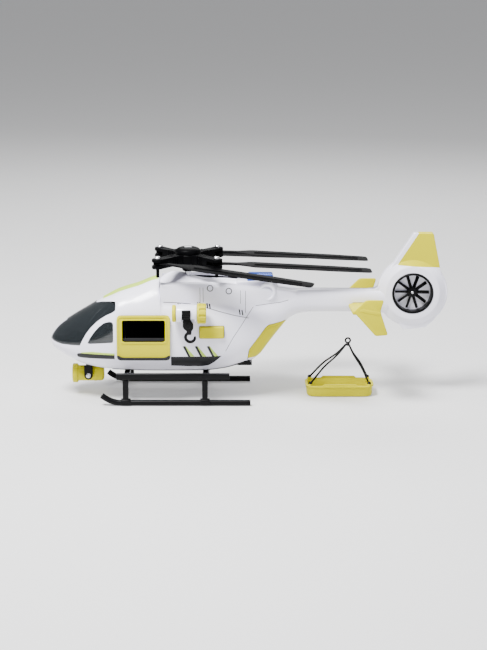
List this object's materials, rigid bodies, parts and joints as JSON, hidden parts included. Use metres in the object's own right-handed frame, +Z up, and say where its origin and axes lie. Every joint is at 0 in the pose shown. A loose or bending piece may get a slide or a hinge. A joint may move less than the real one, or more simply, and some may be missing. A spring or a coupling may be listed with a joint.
{
  "type": "toy helicopter",
  "caption": "Toy rescue helicopter with folding rotor, shrouded tail fan, side winch and hook, searchlight, skids, opening doors and a loose stretcher.",
  "frame": {"origin": "middle of the bounding box, on the surface that the skids stand on", "axes": "+X from the nose to the tail, +Y to starboard, +Z up"},
  "size_m": [0.36, 0.1354, 0.15],
  "materials": {
    "white_plastic": "glossy moulded white",
    "yellow_plastic": "glossy lemon yellow",
    "black_plastic": "glossy moulded black",
    "grey_plastic": "matt dark grey",
    "smoked_glass": "clear smoke-tinted plastic",
    "clear_lens": "clear plastic lens",
    "blue_lens": "translucent blue plastic",
    "steel": "plated steel",
    "electronics": "green board and cell sleeve",
    "black_cord": "black string and soft harness"
  },
  "bodies": {
    "airframe": {"battery_cover": "black_plastic", "battery_cover_screw": "steel", "battery_left": "electronics", "battery_right": "electronics", "beacon_led": "clear_lens", "beacon_lens": "blue_lens", "belly_tray": "black_plastic", "button_dome": "grey_plastic", "cabin_floor": "grey_plastic", "circuit_board": "electronics", "cross_tube_front": "black_plastic", "cross_tube_rear": "black_plastic", "engine_deck": "white_plastic", "fan_liner": "black_plastic", "fuselage_left": "white_plastic", "fuselage_right": "white_plastic", "fuselage_screw_boom": "steel", "instrument_panel": "white_plastic", "pilot_seat_left": "grey_plastic", "pilot_seat_right": "grey_plastic", "rear_bench": "grey_plastic", "searchlight_yoke": "black_plastic", "side_window_left": "smoked_glass", "side_window_right": "smoked_glass", "skid_left": "black_plastic", "skid_right": "black_plastic", "speaker": "grey_plastic", "stabiliser": "yellow_plastic", "step_left": "black_plastic", "step_right": "black_plastic", "string_guide": "black_plastic", "tail_fan_axle": "steel", "winch_housing": "white_plastic"},
    "rotor": {"rotor_mast": "steel", "rotor_hub": "black_plastic", "rotor_cap": "black_plastic", "blade_bolt_front_left": "steel", "blade_bolt_front_right": "steel", "blade_bolt_rear_left": "steel", "blade_bolt_rear_right": "steel"},
    "blade_front_left": {"blade_front_left": "black_plastic"},
    "blade_front_right": {"blade_front_right": "black_plastic"},
    "blade_rear_left": {"blade_rear_left": "black_plastic"},
    "blade_rear_right": {"blade_rear_right": "black_plastic"},
    "tail_fan": {"tail_fan": "black_plastic"},
    "windscreen": {"windscreen": "smoked_glass"},
    "door_left": {"door_left": "yellow_plastic"},
    "door_right": {"door_right": "yellow_plastic"},
    "rear_door": {"rear_door": "yellow_plastic"},
    "searchlight": {"searchlight_body": "yellow_plastic", "searchlight_lens": "clear_lens", "searchlight_screw": "steel"},
    "winch_reel": {"winch_cap": "yellow_plastic", "winch_drum": "black_plastic", "winch_knob": "yellow_plastic"},
    "hook": {"hook": "black_plastic", "winch_string": "black_cord"},
    "sound_button": {"sound_button": "yellow_plastic"},
    "stretcher": {"stretcher_tub": "yellow_plastic", "stretcher_harness": "black_cord"}
  },
  "joints": [
    {"name": "rotor_spin", "type": "hinge", "parent": "airframe", "child": "rotor", "pos_m": [-0.0545, 0, 0.127], "axis": [0, 0, 1], "continuous": true},
    {"name": "fold_front_left", "type": "hinge", "parent": "rotor", "child": "blade_front_left", "pos_m": [-0.08066, -0.02616, 0.127], "axis": [0, 0, -1], "range_deg": [0, 120]},
    {"name": "fold_front_right", "type": "hinge", "parent": "rotor", "child": "blade_front_right", "pos_m": [-0.08066, 0.02616, 0.127], "axis": [0, 0, 1], "range_deg": [0, 120]},
    {"name": "fold_rear_left", "type": "hinge", "parent": "rotor", "child": "blade_rear_left", "pos_m": [-0.02834, -0.02616, 0.127], "axis": [0, 0, -1], "range_deg": [0, 55]},
    {"name": "fold_rear_right", "type": "hinge", "parent": "rotor", "child": "blade_rear_right", "pos_m": [-0.02834, 0.02616, 0.127], "axis": [0, 0, 1], "range_deg": [0, 35]},
    {"name": "tail_fan_spin", "type": "hinge", "parent": "airframe", "child": "tail_fan", "pos_m": [0.1482, 0, 0.0957], "axis": [0, 1, 0], "continuous": true},
    {"name": "windscreen_lift", "type": "hinge", "parent": "airframe", "child": "windscreen", "pos_m": [-0.1187, 0, 0.0918], "axis": [0, 1, 0], "range_deg": [0, 40]},
    {"name": "door_left_slide", "type": "slide", "parent": "airframe", "child": "door_left", "axis": [1, 0, 0], "range_m": [0, 0.024]},
    {"name": "door_right_slide", "type": "slide", "parent": "airframe", "child": "door_right", "axis": [1, 0, 0], "range_m": [0, 0.024]},
    {"name": "rear_door_swing", "type": "hinge", "parent": "airframe", "child": "rear_door", "pos_m": [0.0365, 0, 0.071], "axis": [0, -1, 0], "range_deg": [0, 90]},
    {"name": "searchlight_tilt", "type": "hinge", "parent": "airframe", "child": "searchlight", "pos_m": [-0.1458, 0, 0.0194], "axis": [0, 1, 0], "range_deg": [-6, 15]},
    {"name": "winch_turn", "type": "hinge", "parent": "airframe", "child": "winch_reel", "pos_m": [-0.0526, -0.042, 0.0854], "axis": [1, 0, 0], "range_deg": [0, 720]},
    {"name": "hook_drop", "type": "slide", "parent": "airframe", "child": "hook", "axis": [0, 0, -1], "range_m": [0, 0.0503]},
    {"name": "button_press", "type": "slide", "parent": "airframe", "child": "sound_button", "axis": [0, 1, 0], "range_m": [0, 0.0015], "stiffness_N_per_m": 400},
    {"name": "stretcher_slide", "type": "slide", "parent": "airframe", "child": "stretcher", "axis": [0, -1, 0], "range_m": [0, 0.08]}
  ],
  "couplings": [
    {"joint": "hook_drop", "follows": "winch_turn", "m_per_rad": 0.004}
  ]
}
